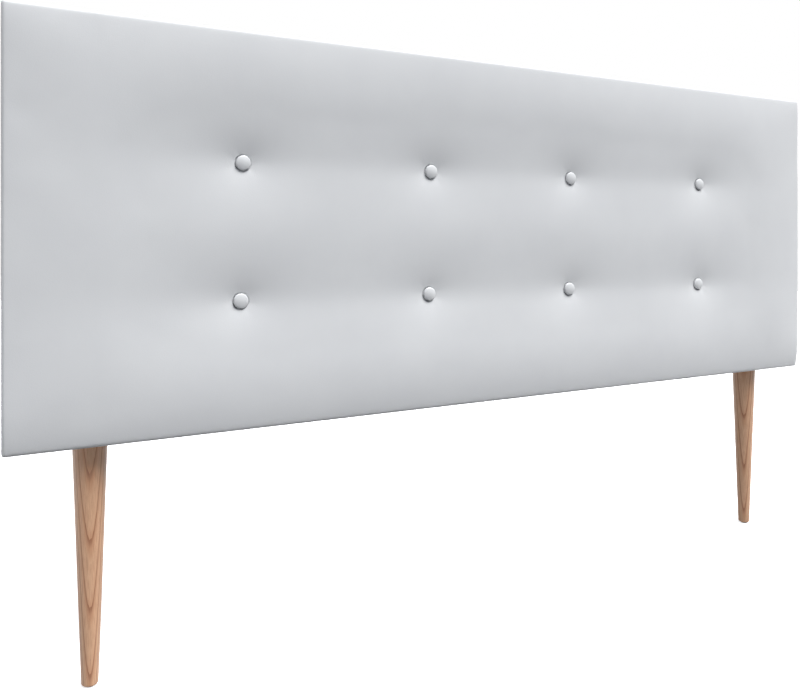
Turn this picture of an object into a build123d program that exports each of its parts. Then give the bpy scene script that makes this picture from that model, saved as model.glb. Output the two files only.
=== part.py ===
from build123d import *
import os

# Tufted headboard on two screw-in legs, in millimetres.
# X runs along the panel, the padded front faces -Y, Z is up and the floor is Z = 0.
# The origin is on the floor, under the middle of the whole object.

# Panel
panel_width = 1600.0
panel_height = 600.0
panel_clearance = 350.0
corner_radius = 4.0

# Layers, from the front to the back
cover_thickness = 1.0
foam_thickness = 30.0
board_thickness = 4.0
timber_depth = 45.0
dust_cover_thickness = 0.6

# Padded front: three long pillows between the edges and the two channels
edge_radius = 5.0
edge_fall = 2.5
end_radius = 5.0
end_fall = 2.5
end_crown_length = 150.0
channel_depth = 3.5
crest_lead = 1.0

# Tufts, as shares of the panel from its middle and from its underside
tuft_column_shares = (-0.2980, -0.0945, 0.0945, 0.3080)
tuft_row_shares = {"upper": 0.6690, "lower": 0.3235}
lower_row_shift_share = -0.0022
tuft_depth = 15.0
tuft_cone_radius = 62.0
tuft_blend_radius = 60.0
tuft_throat_radius = 28.0
tuft_throat_depth = 9.0

# Covered buttons, their backs and what ties them
button_radius = 11.5
button_height = 7.5
button_rim = 4.3
button_shell = 1.4
button_seat_clearance = 1.5
button_back_thickness = 1.2
eye_width = 4.0
eye_thickness = 1.8
eye_length = 6.0
eye_bore_radius = 1.1
twine_radius = 0.8
twine_hole_radius = 3.0
board_hole_radius = 1.5
anchor_radius = 11.0
anchor_thickness = 2.0
anchor_bore_radius = 1.2
knot_radius = 2.5
knot_length = 3.5

# Frame timbers
rail_height = 34.0
stile_width = 34.0

# Countersunk frame screws
screw_length = 70.0
screw_radius = 2.25
screw_head_radius = 4.25
screw_head_height = 2.6
screw_tip_length = 5.0
screw_offset = 11.0

# Staples
staple_crown = 10.0
staple_wire_thickness = 0.6
staple_wire_width = 1.2
cover_staple_leg = 8.0
dust_staple_leg = 6.0
board_staple_leg = 16.0
cover_staple_inset = 27.0
dust_staple_inset = 18.0
cover_staple_spacing = 100.0
dust_staple_spacing = 160.0
board_staple_spacing = 220.0

# Turned margin and dust cover
margin_width = 42.0
dust_cover_inset = 12.0

# Legs and glides
leg_inset = 113.0
leg_top_radius = 24.0
leg_foot_radius = 11.6
leg_foot_round = 3.0
leg_top_chamfer = 1.0
glide_radius = 7.0
glide_thickness = 2.0
glide_round = 0.8
glide_recess = 0.5
nail_head_radius = 2.2
nail_head_height = 0.8
nail_radius = 0.9
nail_length = 15.0

# Hanger bolts and tee nuts
bolt_radius = 4.0
bolt_length_in_leg = 42.0
bolt_proud = 3.0
bolt_chamfer = 1.0
bolt_running_clearance = 0.05
leg_bore_end_clearance = 1.0
tee_nut_barrel_radius = 5.0
tee_nut_barrel_length = 10.0
tee_nut_flange_radius = 10.5
tee_nut_flange_thickness = 1.5
prong_count = 4
prong_width = 3.0
prong_thickness = 1.2
prong_length = 7.0
prong_circle_radius = 8.6
cover_bolt_hole_clearance = 1.0

# How far a cutter runs past what it cuts
overrun = 5.0

# Places worked out from the sizes above
panel_base = panel_clearance
panel_top = panel_base + panel_height
panel_middle = panel_base + panel_height / 2
total_depth = (
    cover_thickness
    + foam_thickness
    + board_thickness
    + timber_depth
    + cover_thickness
    + dust_cover_thickness
)
front_y = -total_depth / 2
board_front_y = front_y + cover_thickness + foam_thickness
timber_front_y = board_front_y + board_thickness
timber_back_y = timber_front_y + timber_depth
margin_back_y = timber_back_y + cover_thickness
back_y = margin_back_y + dust_cover_thickness
timber_middle_y = (timber_front_y + timber_back_y) / 2
timber_half_width = panel_width / 2 - cover_thickness
timber_low = panel_base + cover_thickness
timber_high = panel_top - cover_thickness
bottom_rail_top = timber_low + rail_height
top_rail_base = timber_high - rail_height
seat_y = front_y + tuft_depth
leg_x = panel_width / 2 - leg_inset
row_z = {row: panel_base + share * panel_height for row, share in tuft_row_shares.items()}


def tuft_places(row):
    """The X of each tuft in a row."""
    shift = lower_row_shift_share if row == "lower" else 0.0
    return [(share + shift) * panel_width for share in tuft_column_shares]


tufts = [(x, row_z[row]) for row in row_z for x in tuft_places(row)]


def stile_places():
    """The X of each stile: one at each end, and one between each pair of tuft columns."""
    columns = tuft_places("upper")
    end = timber_half_width - stile_width / 2
    between = [(a + b) / 2 for a, b in zip(columns, columns[1:])]
    return [-end, *between, end]


def block(x_low, x_high, y_low, y_high, z_low, z_high):
    """A box between two corners."""
    box = Box(x_high - x_low, y_high - y_low, z_high - z_low)
    return Pos((x_low + x_high) / 2, (y_low + y_high) / 2, (z_low + z_high) / 2) * box


def turned(*outline):
    """A solid turned about the Z axis from an outline of edges in the XZ plane."""
    return revolve(make_face(Plane.XZ * Wire(list(outline))), Axis.Z)


def turned_polygon(points):
    """A solid turned about the Z axis from a closed row of (radius, height) points."""
    return revolve(Plane.XZ * make_face(Polyline(*points, close=True)), Axis.Z)


def side_outline(inset):
    """The padded block seen from its end, as edges in (Y, Z), drawn in by inset all round.

    The pillows' crests run in front of the flat that the block's front is cut to.
    """
    low = panel_base + inset
    high = panel_top - inset
    front = front_y + inset
    back = margin_back_y - inset
    radius = edge_radius - inset
    edge_y = front + edge_fall
    channel_y = front + channel_depth
    stops = [
        (edge_y, low + radius),
        (channel_y, row_z["lower"]),
        (channel_y, row_z["upper"]),
        (edge_y, high - radius),
    ]
    crest = front - crest_lead
    edges = [
        Line((back, low), (edge_y + radius, low)),
        TangentArc((edge_y + radius, low), stops[0], tangent=(-1, 0)),
    ]
    for start, end in zip(stops, stops[1:]):
        edges.append(ThreePointArc(start, (crest, (start[1] + end[1]) / 2), end))
    edges += [
        TangentArc(stops[-1], (edge_y + radius, high), tangent=(0, 1)),
        Line((edge_y + radius, high), (back, high)),
        Line((back, high), (back, low)),
    ]
    return edges


def plan_outline(inset):
    """The padded block seen from above, as edges in (X, Y), drawn in by inset and past its back.

    Between the end crowns it runs in front of the flat that the block's front is cut to.
    """
    half = panel_width / 2 - inset
    front = front_y + inset - crest_lead
    back = back_y + overrun
    radius = end_radius - inset
    end_y = front + crest_lead + end_fall
    crown = half - end_crown_length
    edges = [Line((-half, back), (half, back)), Line((-crown, front), (crown, front))]
    for side in (-1, 1):
        edges += [
            Line((side * half, back), (side * half, end_y + radius)),
            TangentArc((side * half, end_y + radius), (side * (half - radius), end_y), tangent=(0, -1)),
            TangentArc((side * crown, front), (side * (half - radius), end_y), tangent=(side, 0)),
        ]
    return edges


def tuft_cutter(inset):
    """What a tuft takes out of the front at the origin: a flat seat, a throat and a flared rim."""
    front = front_y + inset
    seat = seat_y + inset
    seat_radius = button_radius + button_seat_clearance
    clear = front - overrun
    rim = tuft_cone_radius + tuft_blend_radius / 2
    outline = Polyline(
        (0, clear),
        (rim, clear),
        (rim, front),
        (tuft_cone_radius, front),
        (tuft_throat_radius, front + tuft_throat_depth),
        (seat_radius, seat),
        (0, seat),
        close=True,
    )
    face = make_face(outline)
    corner = face.vertices().sort_by_distance((tuft_cone_radius, front, 0))[0]
    return revolve(fillet(corner, tuft_blend_radius), Axis.Y)


def padded_block(inset):
    """The whole upholstered block with its crown, channels and tufts, drawn in by inset.

    The foam is level along the pillows' crests, so the outline seen from the front ends there.
    """
    side = Plane.YZ.offset(-panel_width / 2 - overrun) * make_face(Wire(side_outline(inset)))
    plan = Plane.XY.offset(panel_base - overrun) * make_face(Wire(plan_outline(inset)))
    face = RectangleRounded(panel_width - 2 * inset, panel_height - 2 * inset, corner_radius - inset)
    front = Plane.XZ.offset(-back_y - overrun) * Pos(0, panel_middle) * face
    solid = extrude(side, panel_width + 2 * overrun)
    solid = solid & extrude(front, back_y + overrun - front_y - inset)
    solid = solid & extrude(plan, panel_height + 2 * overrun)
    cutter = tuft_cutter(inset)
    return solid - [Pos(x, 0, z) * cutter for x, z in tufts]


def round_holes(radius, y_low, y_high):
    """A round bar along Y at each tuft."""
    bar = Rot(90, 0, 0) * Cylinder(radius, y_high - y_low)
    return [Pos(x, (y_low + y_high) / 2, z) * bar for x, z in tufts]


def at_legs(shape):
    """A shape at each leg's axis: the left one, then the right one."""
    return [Pos(side * leg_x, timber_middle_y, 0) * shape for side in (-1, 1)]


def tee_nut():
    """Tee nut on the Z axis, its flange on the bottom rail's top face, its bore left full."""
    flange_base = bottom_rail_top
    flange = Pos(0, 0, flange_base) * Cylinder(
        tee_nut_flange_radius, tee_nut_flange_thickness, align=(Align.CENTER, Align.CENTER, Align.MIN)
    )
    barrel = Pos(0, 0, flange_base) * Cylinder(
        tee_nut_barrel_radius, tee_nut_barrel_length, align=(Align.CENTER, Align.CENTER, Align.MAX)
    )
    prong = Pos(prong_circle_radius, 0, flange_base) * Box(
        prong_thickness, prong_width, prong_length, align=(Align.CENTER, Align.CENTER, Align.MAX)
    )
    prongs = [Rot(0, 0, turn * 360 / prong_count) * prong for turn in range(prong_count)]
    return flange + barrel + prongs


def hanger_bolt():
    """Hanger bolt on the Z axis: its lower half in the leg, its upper half through the tee nut."""
    low = panel_base - bolt_length_in_leg
    high = bottom_rail_top + tee_nut_flange_thickness + bolt_proud
    tip = bolt_radius - bolt_chamfer
    return turned_polygon([
        (0, low),
        (tip, low),
        (bolt_radius, low + bolt_chamfer),
        (bolt_radius, high - bolt_chamfer),
        (tip, high),
        (0, high),
    ])


def leg():
    """Turned and tapered leg on the Z axis, bored for its hanger bolt and its glide nail."""
    foot = glide_thickness
    slope = (leg_top_radius - leg_foot_radius) / (panel_base - foot)
    round_end_radius = leg_foot_radius + slope * leg_foot_round
    chamfer_radius = leg_top_radius - slope * leg_top_chamfer
    blank = turned(
        Line((0, foot), (leg_foot_radius - leg_foot_round, foot)),
        TangentArc(
            (leg_foot_radius - leg_foot_round, foot),
            (round_end_radius, foot + leg_foot_round),
            tangent=(1, 0),
        ),
        Line((round_end_radius, foot + leg_foot_round), (chamfer_radius, panel_base - leg_top_chamfer)),
        Line((chamfer_radius, panel_base - leg_top_chamfer), (leg_top_radius - leg_top_chamfer, panel_base)),
        Line((leg_top_radius - leg_top_chamfer, panel_base), (0, panel_base)),
        Line((0, panel_base), (0, foot)),
    )
    bore = Pos(0, 0, panel_base) * Cylinder(
        bolt_radius + bolt_running_clearance,
        2 * (bolt_length_in_leg + leg_bore_end_clearance),
    )
    return blank - bore - glide_nail()


def glide_nail():
    """Nail on the Z axis, its head sunk in the glide."""
    head_top = glide_recess + nail_head_height
    return turned_polygon([
        (0, glide_recess),
        (nail_head_radius, glide_recess),
        (nail_head_radius, head_top),
        (nail_radius, head_top),
        (nail_radius, glide_recess + nail_length - nail_radius),
        (0, glide_recess + nail_length),
    ])


def glide():
    """Round glide on the Z axis under a leg."""
    disc = turned(
        Line((0, 0), (glide_radius - glide_round, 0)),
        TangentArc((glide_radius - glide_round, 0), (glide_radius, glide_round), tangent=(1, 0)),
        Line((glide_radius, glide_round), (glide_radius, glide_thickness)),
        Line((glide_radius, glide_thickness), (0, glide_thickness)),
        Line((0, glide_thickness), (0, 0)),
    )
    recess = Cylinder(nail_head_radius, 2 * glide_recess)
    return disc - recess - glide_nail()


def along_y(solid, y):
    """A solid turned about Z, laid along Y with its foot at y and its height towards the back."""
    return Pos(0, y, 0) * Rot(-90, 0, 0) * solid


def button_cap():
    """Covered button shell, domed to the front, laid on a tuft's seat at the origin."""
    rim_radius = button_radius - button_shell
    inner_height = button_height - button_shell
    shell = turned(
        Line((rim_radius, 0), (button_radius, 0)),
        Line((button_radius, 0), (button_radius, button_rim)),
        TangentArc((0, button_height), (button_radius, button_rim), tangent=(1, 0)),
        Line((0, button_height), (0, inner_height)),
        TangentArc((0, inner_height), (rim_radius, button_rim), tangent=(1, 0)),
        Line((rim_radius, button_rim), (rim_radius, 0)),
    )
    return Pos(0, seat_y, 0) * Rot(90, 0, 0) * shell


def button_back():
    """Disc that closes a button's shell, with the eye that stands through the cover."""
    disc = Pos(0, 0, -button_back_thickness) * Cylinder(
        button_radius - button_shell, button_back_thickness, align=(Align.CENTER, Align.CENTER, Align.MIN)
    )
    eye = Box(eye_width, eye_thickness, eye_length, align=(Align.CENTER, Align.CENTER, Align.MIN))
    bore = Pos(0, 0, eye_length / 2) * Rot(90, 0, 0) * Cylinder(eye_bore_radius, eye_thickness + overrun)
    return along_y(disc + eye - bore, seat_y)


def tufting_twine():
    """Twine tied through the eye, run through foam and board, and knotted behind its anchor."""
    eye_y = seat_y + eye_length / 2
    knot_y = timber_front_y + anchor_thickness
    start_y = seat_y + eye_length
    half_tie = eye_thickness / 2 + 2 * twine_radius
    run = Pos(0, (start_y + knot_y) / 2, 0) * Rot(90, 0, 0) * Cylinder(twine_radius, knot_y - start_y)
    tie = Pos(0, eye_y, 0) * Cylinder(twine_radius, 2 * half_tie)
    strand_z = half_tie - twine_radius
    strand_length = start_y + twine_radius - eye_y
    strand = Rot(90, 0, 0) * Cylinder(twine_radius, strand_length)
    strands = [Pos(0, eye_y + strand_length / 2, side * strand_z) * strand for side in (-1, 1)]
    bridge = Pos(0, start_y + twine_radius, 0) * Cylinder(twine_radius, 2 * half_tie)
    knot = Pos(0, knot_y, 0) * Rot(-90, 0, 0) * Cylinder(
        knot_radius, knot_length, align=(Align.CENTER, Align.CENTER, Align.MIN)
    )
    return run + tie + strands + bridge + knot


def twine_anchor():
    """Washer behind the board that a twine's knot pulls against."""
    washer = Cylinder(anchor_radius, anchor_thickness, align=(Align.CENTER, Align.CENTER, Align.MIN))
    return along_y(washer - Cylinder(anchor_bore_radius, overrun * 2), timber_front_y)


def frame_screw():
    """Countersunk screw on the Z axis, its head's face at Z = 0 and its tip downwards."""
    return turned_polygon([
        (0, 0),
        (screw_head_radius, 0),
        (screw_radius, -screw_head_height),
        (screw_radius, screw_tip_length - screw_length),
        (0, -screw_length),
    ])


def frame_screws():
    """Two screws through each rail into each stile's end grain."""
    screw = frame_screw()
    places = [(x, timber_middle_y + side * screw_offset) for x in stile_places() for side in (-1, 1)]
    down = [Pos(x, y, timber_high) * screw for x, y in places]
    up = [Pos(x, y, timber_low) * Rot(180, 0, 0) * screw for x, y in places]
    return down + up


def staple(leg_length):
    """Staple with its crown along X, the crown's outer face at Y = 0, its legs towards -Y."""
    outer = Pos(0, -leg_length / 2) * Rectangle(staple_crown, leg_length)
    gap_width = staple_crown - 2 * staple_wire_thickness
    gap_length = leg_length - staple_wire_thickness
    gap = Pos(0, -staple_wire_thickness - gap_length / 2) * Rectangle(gap_width, gap_length)
    return extrude(outer - gap, staple_wire_width / 2, both=True)


def spread(length, spacing):
    """Places evenly spread over a length about its middle, near a spacing apart."""
    count = max(2, round(length / spacing))
    return [(i + 0.5) * length / count - length / 2 for i in range(count)]


def back_staples(leg_length, outer_y, inset, spacing):
    """Staples in the back along the panel's four edges, at an inset from them."""
    one = Pos(0, outer_y, 0) * staple(leg_length)
    upright = Rot(0, 90, 0) * one
    half_width = panel_width / 2 - inset
    half_height = panel_height / 2 - inset
    level = [
        Pos(x, 0, panel_middle + side * half_height) * one
        for side in (-1, 1)
        for x in spread(2 * half_width - 2 * inset, spacing)
    ]
    standing = [
        Pos(side * half_width, 0, panel_middle + z) * upright
        for side in (-1, 1)
        for z in spread(2 * half_height - 2 * inset, spacing)
    ]
    return level + standing


def board_staples():
    """Staples in the board's front along the rails and the stiles."""
    one = Pos(0, board_front_y, 0) * Rot(0, 0, 180) * staple(board_staple_leg)
    upright = Rot(0, 90, 0) * one
    rail_offset = (panel_height - rail_height) / 2 - cover_thickness
    level = [
        Pos(x, 0, panel_middle + side * rail_offset) * one
        for side in (-1, 1)
        for x in spread(panel_width - 2 * rail_height, board_staple_spacing)
    ]
    standing = [
        Pos(x, 0, panel_middle + z) * upright
        for x in stile_places()
        for z in spread(top_rail_base - bottom_rail_top - staple_crown, board_staple_spacing)
    ]
    return level + standing


def timbers():
    """The seven frame timbers by name, as plain blocks."""
    half = timber_half_width
    depth = (timber_front_y, timber_back_y)
    pieces = {
        "top_rail": block(-half, half, *depth, top_rail_base, timber_high),
        "bottom_rail": block(-half, half, *depth, timber_low, bottom_rail_top),
    }
    names = ["left_end_stile", "left_inner_stile", "centre_stile", "right_inner_stile", "right_end_stile"]
    for name, x in zip(names, stile_places()):
        low_x, high_x = x - stile_width / 2, x + stile_width / 2
        pieces[name] = block(low_x, high_x, *depth, bottom_rail_top, top_rail_base)
    return pieces


def build():
    """Every piece by its name."""
    outer = padded_block(0)
    inner = padded_block(cover_thickness)
    screws = frame_screws()
    cover_pins = back_staples(cover_staple_leg, margin_back_y, cover_staple_inset, cover_staple_spacing)
    dust_pins = back_staples(dust_staple_leg, back_y, dust_staple_inset, dust_staple_spacing)
    board_pins = board_staples()
    nuts = at_legs(tee_nut())
    thread_bores = at_legs(
        Pos(0, 0, bottom_rail_top) * Cylinder(bolt_radius + bolt_running_clearance, 2 * rail_height)
    )
    barrel_bores = at_legs(Pos(0, 0, bottom_rail_top) * Cylinder(
        tee_nut_barrel_radius, rail_height + overrun, align=(Align.CENTER, Align.CENTER, Align.MAX)
    ))
    cover_bores = at_legs(Pos(0, 0, panel_base) * Cylinder(
        tee_nut_barrel_radius + cover_bolt_hole_clearance, 2 * cover_thickness + overrun
    ))
    pieces = {}

    window = block(
        margin_width - panel_width / 2,
        panel_width / 2 - margin_width,
        timber_back_y - overrun,
        back_y + overrun,
        panel_base + margin_width,
        panel_top - margin_width,
    )
    twine_holes = round_holes(twine_hole_radius, seat_y - overrun, board_front_y)
    pieces["cover"] = outer - inner - window - twine_holes - cover_bores - cover_pins - dust_pins

    foam_zone = block(-panel_width, panel_width, front_y, board_front_y, panel_base, panel_top)
    pieces["foam_pad"] = (inner & foam_zone) - twine_holes

    board_zone = block(-panel_width, panel_width, board_front_y, timber_front_y, panel_base, panel_top)
    board_holes = round_holes(board_hole_radius, board_front_y - overrun, timber_front_y + overrun)
    pieces["front_board"] = (inner & board_zone) - board_holes - board_pins

    for name, blank in timbers().items():
        timber = (blank & inner) - screws - cover_pins - dust_pins - board_pins
        if name == "bottom_rail":
            timber = timber - barrel_bores - nuts
        pieces[name] = timber

    sheet = RectangleRounded(
        panel_width - 2 * dust_cover_inset, panel_height - 2 * dust_cover_inset, corner_radius
    )
    sheet_plane = Plane.XZ.offset(-back_y) * Pos(0, panel_middle)
    pieces["dust_cover"] = extrude(sheet_plane * sheet, dust_cover_thickness) - dust_pins

    pieces["frame_screws"] = screws
    pieces["board_staples"] = board_pins
    pieces["cover_staples"] = cover_pins
    pieces["dust_cover_staples"] = dust_pins

    cap = button_cap()
    for row in row_z:
        for number, x in enumerate(tuft_places(row), start=1):
            pieces[f"{row}_button_{number}"] = Pos(x, 0, row_z[row]) * cap
    for name, shape in (
        ("button_backs", button_back()),
        ("tufting_twines", tufting_twine()),
        ("twine_anchors", twine_anchor()),
    ):
        pieces[name] = [Pos(x, 0, z) * shape for x, z in tufts]

    for side, nut, bore in zip(("left", "right"), nuts, thread_bores):
        pieces[f"{side}_tee_nut"] = nut - bore
    for name, shape in (
        ("hanger_bolt", hanger_bolt()),
        ("leg", leg()),
        ("glide", glide()),
        ("glide_nail", glide_nail()),
    ):
        for side, placed in zip(("left", "right"), at_legs(shape)):
            pieces[f"{side}_{name}"] = placed
    return pieces


def write(name, shape):
    """Write a piece, or a group of like pieces, to its own file."""
    solids = shape.solids() if not isinstance(shape, list) else [s for one in shape for s in one.solids()]
    export_step(solids[0] if len(solids) == 1 else Compound(solids), f"parts/{name}.step")


os.makedirs("parts", exist_ok=True)
for piece_name, piece in build().items():
    write(piece_name, piece)
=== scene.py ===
"""Looks of a tufted headboard on two screw-in legs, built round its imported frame.

Lengths are in metres. X runs along the panel, its padded front faces -Y and the floor is Z = 0.
"""

import logging
import math
from dataclasses import dataclass
from enum import Enum
from functools import cache

import bpy
import numpy as np
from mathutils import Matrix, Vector
from mathutils.kdtree import KDTree


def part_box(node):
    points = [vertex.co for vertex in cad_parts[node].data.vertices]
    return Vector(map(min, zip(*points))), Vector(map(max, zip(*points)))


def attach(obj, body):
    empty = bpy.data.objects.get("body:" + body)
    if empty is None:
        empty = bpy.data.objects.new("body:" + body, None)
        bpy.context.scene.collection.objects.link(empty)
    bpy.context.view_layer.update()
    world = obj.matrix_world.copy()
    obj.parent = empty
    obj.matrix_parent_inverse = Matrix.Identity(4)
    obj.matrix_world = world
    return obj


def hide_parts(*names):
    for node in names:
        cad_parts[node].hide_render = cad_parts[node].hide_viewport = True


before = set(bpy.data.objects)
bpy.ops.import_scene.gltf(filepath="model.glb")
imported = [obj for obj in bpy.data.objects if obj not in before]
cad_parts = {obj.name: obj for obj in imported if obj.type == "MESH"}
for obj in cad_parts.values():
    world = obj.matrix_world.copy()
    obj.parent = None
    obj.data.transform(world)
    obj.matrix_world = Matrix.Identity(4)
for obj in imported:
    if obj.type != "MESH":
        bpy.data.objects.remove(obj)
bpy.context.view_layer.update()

LOG = logging.getLogger("headboard")
MM_IN_A_METRE = 1000.0
# Keeps a turned row's step inward above zero, so that it isn't taken for a row on the sides.
SLIVER = 1e-9
# Keeps a length that is divided by above zero.
NO_LENGTH = 1e-12

# Stretched PU-coated knit: stiff in its own plane, softer in shear and much softer in bending.
COVER_CLOTH = {
    "mass": 0.35,
    "quality": 6,
    "tension_stiffness": 30.0,
    "compression_stiffness": 30.0,
    "shear_stiffness": 12.0,
    "bending_stiffness": 1.5,
    "air_damping": 5.0,
    "use_pressure": True,
}

# The padding's unevenness, as products of waves: radians in a metre of X and of Z, and the phase.
SLOW_WAVES = ((11.3, 5.1, 0.7), (-3.7, 17.9, 1.9))
QUICK_WAVES = ((31.0, -13.0, 2.3), (19.0, 23.0, 0.0))


class Body(Enum):
    """The bodies that pieces ride on."""

    PANEL = "panel"
    LEFT_BOLT = "left_hanger_bolt"
    RIGHT_BOLT = "right_hanger_bolt"


class Slot(Enum):
    """The record's material slots."""

    FAUX_LEATHER = "faux_leather"
    FOAM = "foam"
    DUST_CLOTH = "dust_cloth"
    ZINC_STEEL = "zinc_steel"


class Side(Enum):
    """The panel's two ends, seen from its front."""

    LEFT = "left"
    RIGHT = "right"


def linear(hex_colour: str) -> tuple[float, float, float, float]:
    """Turn an sRGB hex colour to a linear one.

    Args:
        hex_colour: The colour, as "#RRGGBB".

    Returns:
        Linear red, green and blue, and an alpha of 1.
    """
    shares = [int(hex_colour[i:i + 2], 16) / 255 for i in (1, 3, 5)]
    values = [s / 12.92 if s <= 0.04045 else ((s + 0.055) / 1.055) ** 2.4 for s in shares]
    return (values[0], values[1], values[2], 1.0)


def add_node(
    tree: bpy.types.NodeTree,
    kind: str,
    settings: dict | None = None,
    links: dict | None = None,
) -> bpy.types.Node:
    """Add a node with its settings and links.

    Args:
        tree: The tree that the node goes into.
        kind: The node's type, as Blender names it.
        settings: Values by input name or number, or by the node's own option, which starts with
            a small letter. The key "stops" gives a colour ramp's list of (place, colour).
        links: Output sockets by the input name or number that they go into.

    Returns:
        The new node.
    """
    node = tree.nodes.new(kind)
    values = dict(settings or {})
    for index, (place, colour) in enumerate(values.pop("stops", [])):
        elements = node.color_ramp.elements
        element = elements[index] if index < 2 else elements.new(place)
        element.position = place
        element.color = colour
    options = [key for key in values if isinstance(key, str) and key[0].islower()]
    for key in options:
        setattr(node, key, values.pop(key))
    for key, value in values.items():
        node.inputs[key].default_value = value
    for key, socket in (links or {}).items():
        tree.links.new(socket, node.inputs[key])
    return node


def per_metre(size_mm: float) -> float:
    """How many repeats of a size in millimetres make a metre, which is a texture's scale."""
    return MM_IN_A_METRE / size_mm


@dataclass(frozen=True)
class Finish:
    """What a surface is made of, and how that surface was made."""

    name: str

    def surface(self, tree: bpy.types.NodeTree) -> bpy.types.Node:
        """Add the finish's nodes to a tree.

        Args:
            tree: The material's node tree.

        Returns:
            The shader node that the surface takes.
        """
        raise NotImplementedError

    def material(self) -> bpy.types.Material:
        """Make the finish's material, or find it if it was made before.

        Returns:
            The material, with its node tree.
        """
        made = bpy.data.materials.get(self.name)
        if made is None:
            made = bpy.data.materials.new(self.name)
            made.use_nodes = True
            made.node_tree.nodes.clear()
            shader = self.surface(made.node_tree)
            add_node(made.node_tree, "ShaderNodeOutputMaterial", links={"Surface": shader.outputs[0]})
        return made

    def dress(self, piece: bpy.types.Object) -> None:
        """Make the finish the piece's only material."""
        piece.data.materials.clear()
        piece.data.materials.append(self.material())


@dataclass(frozen=True)
class EmbossedFauxLeather(Finish):
    """PU-coated knit, embossed with a fine pebble grain.

    The eye sees an even, slightly cool grey with a broad satin sheen that the grain breaks up.
    """

    name: str = "faux_leather_pu_embossed"
    colour: str = "#D4D5D6"
    shade: str = "#CBCCCE"
    cloud_mm: float = 90.0
    # The real grain is about 0.7 mm and wouldn't show, so it is drawn at twice that.
    pebble_mm: float = 1.4
    pebble_height_mm: float = 0.060
    crease_mm: float = 5.0
    crease_share: float = 0.5
    roughness_low: float = 0.42
    roughness_high: float = 0.50

    def surface(self, tree: bpy.types.NodeTree) -> bpy.types.Node:
        """Add the leather's nodes to a tree and return its shader node."""
        place = add_node(tree, "ShaderNodeTexCoord").outputs["Object"]
        cloud = add_node(
            tree, "ShaderNodeTexNoise", {"Scale": per_metre(self.cloud_mm), "Detail": 4.0}, {"Vector": place}
        )
        tint = add_node(
            tree,
            "ShaderNodeMix",
            {"data_type": "RGBA", 6: linear(self.shade), 7: linear(self.colour)},
            {0: cloud.outputs[0]},
        )
        pebbles = add_node(
            tree,
            "ShaderNodeTexVoronoi",
            {"feature": "SMOOTH_F1", "Scale": per_metre(self.pebble_mm), "Smoothness": 0.5},
            {"Vector": place},
        )
        creases = add_node(
            tree,
            "ShaderNodeTexNoise",
            {"Scale": per_metre(self.crease_mm), "Detail": 5.0},
            {"Vector": place},
        )
        height = add_node(
            tree,
            "ShaderNodeMath",
            {"operation": "MULTIPLY_ADD", 1: self.crease_share},
            {0: creases.outputs[0], 2: pebbles.outputs["Distance"]},
        )
        bump = add_node(
            tree,
            "ShaderNodeBump",
            {"Distance": self.pebble_height_mm / MM_IN_A_METRE, "invert": True},
            {"Height": height.outputs[0]},
        )
        gloss = add_node(
            tree,
            "ShaderNodeMapRange",
            {"To Min": self.roughness_low, "To Max": self.roughness_high},
            {"Value": creases.outputs[0]},
        )
        return add_node(
            tree,
            "ShaderNodeBsdfPrincipled",
            {"IOR": 1.46},
            {
                "Base Color": tint.outputs[2],
                "Roughness": gloss.outputs[0],
                "Normal": bump.outputs[0],
            },
        )


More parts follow.
